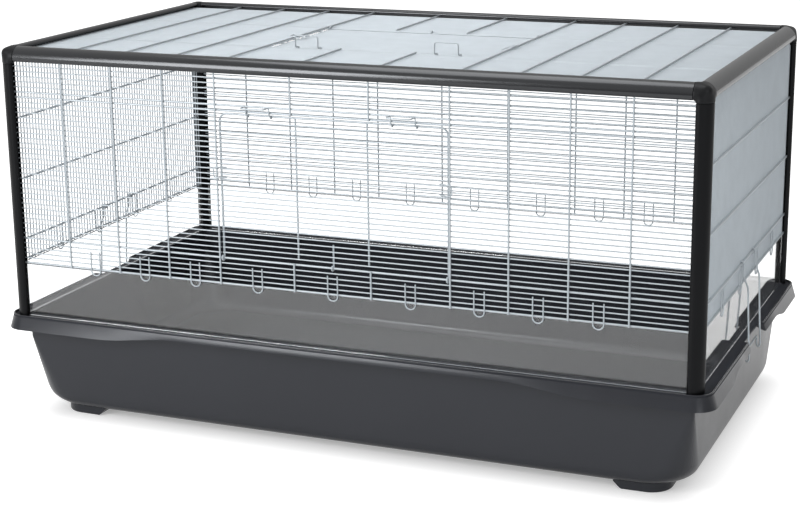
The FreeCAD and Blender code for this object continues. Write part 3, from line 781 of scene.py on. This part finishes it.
def endPanel(side):
    bm = bmesh.new()
    reach = inGroove(profile["postY"])
    top = inGroove(profile["rail"])
    count = math.floor((profile["postY"] - wire["rowClear"]) / wire["sidePitch"] + 0.5)
    # the last wire at each post stops under the corner piece
    tops = [top] * (count + 1) + [top - profile["cornerReach"]]
    for step, high in enumerate(tops):
        for sign in (-1, 1):
            x = sign * (step + 0.5) * wire["sidePitch"]
            layBar(bm, side, (x, wireLow, 0), (x, high, 0), wire["row"])
    for rise in [0] + [wire["sideLow"] + wire["sideStep"] * n for n in range(wire["sideBars"])]:
        y = wire["bottom"] + rise
        layBar(bm, side, (-reach, y, sideHalf), (reach, y, sideHalf), wire["edge"])
    return bm


def buildPanels():
    rowTop = wire["doorRows"] + wire["headerRows"] + wire["topRows"]
    top = inGroove(profile["rail"])
    for side, hasDoor in (("front", True), ("back", False)):
        bm = longPanel(side, -wire["hingeRows"], rowTop, wireLow, top, hingeHeight, hasDoor, True)
        addWire("wirePanel_" + side, bm, "cage_body", "panel_" + side)
    end = inGroove(profile["postY"])
    lowRow = -math.floor((profile["postY"] - wire["rowClear"] - wire["hatchHinge"]) / wire["rowPitch"])
    highRow = math.floor((profile["postY"] - wire["rowClear"] + wire["hatchHinge"]) / wire["rowPitch"])
    bm = longPanel("roof", lowRow, highRow, -end, end, -wire["hatchHinge"], True, False)
    addWire("wirePanel_roof", bm, "cage_body", "panel_roof")
    for side in ("left", "right"):
        addWire("wirePanel_" + side, endPanel(side), "cage_body", "panel_" + side)


buildPanels()
print("panels built")


# Pane hooks: rounded U wires on the lowest bars

hook = {"radius": 0.9, "width": 15.5, "rise": 25.0, "drop": 8.0, "sidePitch": 104.5, "sideCount": 4,
        "bend": 6.8, "bendSteps": 8}


def buildHooks():
    half = hook["width"] / 2 - hook["radius"]
    low = wire["bottom"] - hook["drop"]
    high = wire["bottom"] + hook["rise"]
    # one hook in the middle of each bay
    bays = [0, wire["wideBay"]]
    bays += [doorBar + wire["narrowBay"] * (n + 0.5) for n in range(wire["narrowBays"])]
    long = sorted({sign * x for x in bays for sign in (-1, 1)})
    short = [hook["sidePitch"] * (n - (hook["sideCount"] - 1) / 2) for n in range(hook["sideCount"])]
    longOut = wire["row"] + hook["radius"]
    shortOut = sideHalf + wire["edge"] + hook["radius"]
    for side in ("front", "back", "left", "right"):
        centres, out = (long, longOut) if side in ("front", "back") else (short, shortOut)
        paths = []
        for x in centres:
            ends = ((x - half, high), (x - half, low), (x + half, low), (x + half, high))
            points = [(along, up, out) for along, up in ends]
            paths.append(roundBends(onPanel(side, points), hook["bend"] * mm, hook["bendSteps"]))
        bm = bmesh.new()
        addBentWires(bm, paths, hook["radius"] * mm)
        addWire("paneHooks_" + side, bm, "cage_body", "hooks_" + side)


buildHooks()
print("hooks built")


# Door and hatch: a bent border, bars, hinge curls, stop loops and latches

door = {
    "sideGap": 1.2, "topGap": 4.6, "corner": 10.0, "cornerSteps": 8, "inner": 49.45, "middleRise": 30.0,
    "curlClear": 0.15, "curlSides": 8, "curlFrom": 0.5, "curlTo": 1.2,
    "stopReach": 11.0, "stopWidth": 14.0, "stopHeight": 115.0, "stopClear": 0.5,
    "stopBend": 3.0, "stopSteps": 5,
}
latch = {
    "place": 99.975, "width": 33.0, "radius": 0.9, "rise": 12.0, "out": 16.0, "bend": 3.0, "clear": 0.6,
    "handleBend": 3.5, "eyeFrom": 0.45, "eyeTo": 1.0,
}


def curlMiddle(radius):
    # wide enough for the solids, where a curl has straight sides
    return (wire["edge"] + radius + door["curlClear"]) / math.cos(math.pi / door["curlSides"])


doorHalf = doorEdge - door["sideGap"] - wire["edge"] + wire["row"]
doorTop = wire["rowPitch"] * wire["doorRows"] - door["topGap"]
frameIn = edgeIn - curlMiddle(wire["edge"])
barIn = frameIn + wire["edge"] + wire["row"]


def curl(x, y, z, middle, startTurn, endTurn):
    count = max(wire["curlLeast"], math.ceil(abs(endTurn - startTurn) * wire["curlSteps"]))
    turns = [math.tau * (startTurn + (endTurn - startTurn) * n / count) for n in range(count + 1)]
    return [(x, y + middle * math.sin(a), z + middle * math.cos(a)) for a in turns]


def buildDoor(name, side, hinge, body):
    legs = doorHalf - wire["row"]
    top = hinge + doorTop
    middle = curlMiddle(wire["edge"])
    left = curl(-legs, hinge, edgeIn, middle, door["curlTo"], door["curlFrom"])
    right = curl(legs, hinge, edgeIn, middle, door["curlFrom"], door["curlTo"])
    turn = [(-legs, hinge, frameIn), (-legs, top, frameIn), (legs, top, frameIn), (legs, hinge, frameIn)]
    bent = roundBends(onPanel(side, turn), door["corner"] * mm, door["cornerSteps"])
    border = onPanel(side, left[:-1]) + bent + onPanel(side, right[1:])
    bm = bmesh.new()
    addBentWires(bm, [border], wire["edge"] * mm)
    inner = frameIn + wire["edge"] - wire["cross"]
    low = hinge + wire["rowPitch"] - wire["row"]
    for x in (-door["inner"], door["inner"]):
        layBar(bm, side, (x, low, inner), (x, top - wire["edge"], inner), wire["cross"])
    small = curlMiddle(wire["cross"])
    path = curl(0, hinge, edgeIn, small, door["curlTo"], door["curlFrom"])
    path.append((0, hinge + door["middleRise"], edgeIn - small))
    addBentWires(bm, [onPanel(side, path)], wire["cross"] * mm)
    out = wire["row"] + wire["cross"] * 2 + door["stopClear"] + wire["row"]
    tip = doorBar + wire["cross"] + wire["edge"] + wire["row"]
    loops = []
    for sign in (-1, 1):
        y = hinge + door["stopHeight"] - door["stopWidth"] / 2
        ends = [(doorHalf - door["stopReach"], barIn + wire["row"] * 2), (doorHalf, out), (tip, out)]
        first = [(sign * x, y, z) for x, z in ends]
        second = [(x, y + door["stopWidth"], z) for x, y, z in reversed(first)]
        loops.append(roundBends(onPanel(side, first + second), door["stopBend"] * mm, door["stopSteps"]))
    addBentWires(bm, loops, wire["row"] * mm)
    addWire(name + "Border", bm, body, name + "_frame")
    bm = bmesh.new()
    last = math.floor((doorTop - wire["edge"] - wire["row"] * 2) / wire["rowPitch"])
    for row in range(1, last + 1):
        y = hinge + row * wire["rowPitch"]
        layBar(bm, side, (-doorHalf, y, barIn), (doorHalf, y, barIn), wire["row"])
    addWire(name + "Bars", bm, body, name + "_bars")


def buildBail(name, side, eye, leg, centre, bend, radius):
    # one half is drawn from its eye on, and the other is its mirror image
    def mirrored(points):
        return [(centre * 2 - x, y, z) for x, y, z in reversed(points)]

    path = [eye[-1]] + leg
    bent = roundBends(onPanel(side, path + mirrored(path)), bend * mm, wire["bailSteps"])
    bm = bmesh.new()
    addBentWires(bm, [onPanel(side, eye[:-1]) + bent + onPanel(side, mirrored(eye)[1:])], radius * mm)
    addWire(name + "Bail", bm, name + "_body", name)


def buildLatch(name, side, hinge, centre):
    middle = curlMiddle(latch["radius"])
    y = hinge + doorTop
    over = wire["row"] + latch["radius"] + latch["clear"]
    x = centre - latch["width"] / 2
    eye = curl(x, y, frameIn, middle, latch["eyeFrom"], latch["eyeTo"])
    leg = [(x, y + latch["bend"], over), (x, y + latch["rise"], over),
           (x, y + latch["rise"], over + latch["out"])]
    buildBail(name, side, eye, leg, centre, latch["handleBend"], latch["radius"])


def buildDoors():
    buildDoor("door", "front", hingeHeight, "door_body")
    buildDoor("hatch", "roof", -wire["hatchHinge"], "hatch_body")
    for leftRight, sign in (("left", -1), ("right", 1)):
        buildLatch("door_latch_" + leftRight, "front", hingeHeight, sign * latch["place"])
        buildLatch("hatch_latch_" + leftRight, "roof", -wire["hatchHinge"], -sign * latch["place"])


buildDoors()
print("door and hatch built")


# End clamps: bails on the side panels with a hook under the rim

clamp = {
    "radius": 1.2, "rows": 5, "kink": 9.0, "kinkDrop": 32.0, "legOut": 4.8, "hookDrop": 30.0,
    "tipRise": 16.0, "tipGap": 0.5, "bend": 5.0, "round": 3.0, "eyeFrom": 0.8, "eyeTo": 0.05,
}


def buildClamp(side):
    middle = curlMiddle(clamp["radius"])
    y = wire["bottom"] + wire["sideLow"]
    x = -wire["sidePitch"] * clamp["rows"]
    tip = tray["tubX"] + tray["notchLedge"] - panelX + clamp["tipGap"] + clamp["radius"]
    leg = tip + clamp["legOut"]
    low = tray["rim"] - clamp["hookDrop"]
    eye = curl(x, y, sideHalf, middle, clamp["eyeFrom"], clamp["eyeTo"])
    hang = [(x, y - clamp["kinkDrop"] / 2, sideHalf + middle),
            (x, y - clamp["kinkDrop"], clamp["kink"] + middle),
            (x, low + clamp["bend"], leg), (x, low, leg - clamp["legOut"] / 2),
            (x, low + clamp["bend"], tip), (x, low + clamp["tipRise"], tip)]
    buildBail("clamp_" + side, side, eye, hang, 0, clamp["round"], clamp["radius"])


for side in ("left", "right"):
    buildClamp(side)
print("clamps built")


# Studio, in metres: white floor and background, soft lamps, and the photograph's view

studio = {
    "camera": (0.9203, -2.2551, 0.8573), "lens": 79.94, "sensor": 36.0, "clipEnd": 60.0, "roll": -0.626,
    "back": (0.37057, -0.89253, 0.25703), "right": (0.92355, 0.38345, 0.0),
    "up": (-0.09856, 0.23738, 0.96640),
    "ambient": 0.36, "horizon": 0.45, "zenith": 1.0, "skyReach": (0.0, 0.9), "white": (1, 1, 1, 1),
    "floorSize": 14.0, "floorTone": (0.80, 0.80, 0.80, 1), "floorRough": 0.9,
    # the floor glow is weakest at the footprint, as painted shade round the base
    "footprint": (0.42, 0.22, 0.0), "floorGlowAndShade": (0.32, 0.92, 1.0), "glowReach": (0.10, 0.9),
    "mirrorGlow": 0.6,
    # name, place, target, width, height and power
    "lamps": [("topLamp", (-0.4, -0.2, 2.4), (0, 0, 0.3), 1.2, 1.2, 14.0),
              ("rightLamp", (2.0, -2.0, 1.2), (0.3, 0, 0.25), 1.2, 1.2, 10.0),
              ("frontLamp", (-1.4, -2.6, 1.3), (-0.1, -0.2, 0.35), 0.9, 1.7, 54.0)],
}


def vectorNode(tree, operation, first, second=None):
    node = tree.nodes.new("ShaderNodeVectorMath")
    node.operation = operation
    tree.links.new(first, node.inputs[0])
    if second is not None:
        node.inputs[1].default_value = second
    return node.outputs["Value"] if operation == "LENGTH" else node.outputs["Vector"]


def rampNode(tree, value, fromMin, fromMax, toMin, toMax):
    node = tree.nodes.new("ShaderNodeMapRange")
    node.interpolation_type = "SMOOTHSTEP"
    values = {"From Min": fromMin, "From Max": fromMax, "To Min": toMin, "To Max": toMax}
    for label, number in values.items():
        node.inputs[label].default_value = number
    tree.links.new(value, node.inputs["Value"])
    return node.outputs["Result"]


def whereSeen(tree):
    # the rays that see plain white, and those of mirrors
    path = tree.nodes.new("ShaderNodeLightPath")
    seen = mathNode(tree, "MAXIMUM", path.outputs["Is Camera Ray"], path.outputs["Is Transmission Ray"])
    return seen, path.outputs["Is Glossy Ray"]


def makeFloor():
    bm = bmesh.new()
    bmesh.ops.create_grid(bm, x_segments=1, y_segments=1, size=studio["floorSize"])
    mesh = bpy.data.meshes.new("studioFloor")
    bm.to_mesh(mesh)
    bm.free()
    floor = bpy.data.objects.new("studioFloor", mesh)
    bpy.context.scene.collection.objects.link(floor)
    material = bpy.data.materials.new("studioPaper")
    material.use_nodes = True
    tree = material.node_tree
    shader = tree.nodes["Principled BSDF"]
    shader.inputs["Roughness"].default_value = studio["floorRough"]
    shader.inputs["Specular IOR Level"].default_value = 0.0
    shader.inputs["Emission Color"].default_value = studio["white"]
    shader.inputs["Base Color"].default_value = studio["floorTone"]
    seen, mirrored = whereSeen(tree)
    # in reflections the lamps' share is added to the glow, and both together are white
    seen = mathNode(tree, "MAXIMUM", seen, mathNode(tree, "MULTIPLY", mirrored, studio["mirrorGlow"]))
    # the paper's glow is weaker near the cage's footprint, which paints shade around the tray's base, and
    # brightens to white away from the cage
    away = vectorNode(tree, "ABSOLUTE", tree.nodes.new("ShaderNodeTexCoord").outputs["Object"])
    away = vectorNode(tree, "SUBTRACT", away, studio["footprint"])
    away = vectorNode(tree, "LENGTH", vectorNode(tree, "MAXIMUM", away, (0, 0, 0)))
    near, middle, far = studio["floorGlowAndShade"]
    glow = mathNode(tree, "ADD", rampNode(tree, away, 0, studio["glowReach"][0], near, middle),
                    rampNode(tree, away, *studio["glowReach"], 0, far - middle))
    tree.links.new(mathNode(tree, "MULTIPLY", seen, glow), shader.inputs["Emission Strength"])
    mesh.materials.append(material)


def makeWorld():
    world = bpy.data.worlds.new("studioWorld")
    bpy.context.scene.world = world
    world.use_nodes = True
    tree = world.node_tree
    glow = tree.nodes["Background"]
    glow.inputs["Color"].default_value = studio["white"]
    seen, mirrored = whereSeen(tree)
    way = tree.nodes.new("ShaderNodeSeparateXYZ")
    tree.links.new(tree.nodes.new("ShaderNodeTexCoord").outputs["Generated"], way.inputs[0])
    sky = rampNode(tree, way.outputs["Z"], *studio["skyReach"], studio["horizon"], studio["zenith"])
    unseen = spreadNode(tree, mirrored, studio["ambient"], sky)
    tree.links.new(spreadNode(tree, seen, unseen, 1.0), glow.inputs["Strength"])


def makeLamps():
    for name, place, target, sizeX, sizeY, power in studio["lamps"]:
        lamp = bpy.data.lights.new(name, "AREA")
        lamp.shape = "RECTANGLE"
        lamp.size = sizeX
        lamp.size_y = sizeY
        lamp.energy = power
        holder = bpy.data.objects.new(name, lamp)
        holder.location = place
        holder.rotation_euler = (Vector(target) - Vector(place)).to_track_quat("-Z", "Y").to_euler()
        bpy.context.scene.collection.objects.link(holder)


def makeCamera():
    data = bpy.data.cameras.new("photoView")
    data.sensor_width = studio["sensor"]
    data.lens = studio["lens"]
    data.clip_end = studio["clipEnd"]
    camera = bpy.data.objects.new("photoView", data)
    turn = math.radians(studio["roll"])
    right = Vector(studio["right"]) * math.cos(turn) + Vector(studio["up"]) * math.sin(turn)
    up = Vector(studio["up"]) * math.cos(turn) - Vector(studio["right"]) * math.sin(turn)
    axes = Matrix((right, up, Vector(studio["back"]))).transposed().to_4x4()
    axes.translation = studio["camera"]
    camera.matrix_world = axes
    bpy.context.scene.collection.objects.link(camera)
    bpy.context.scene.camera = camera


makeFloor()
makeWorld()
makeLamps()
makeCamera()
bpy.context.scene.view_settings.view_transform = "Standard"
print("studio set")
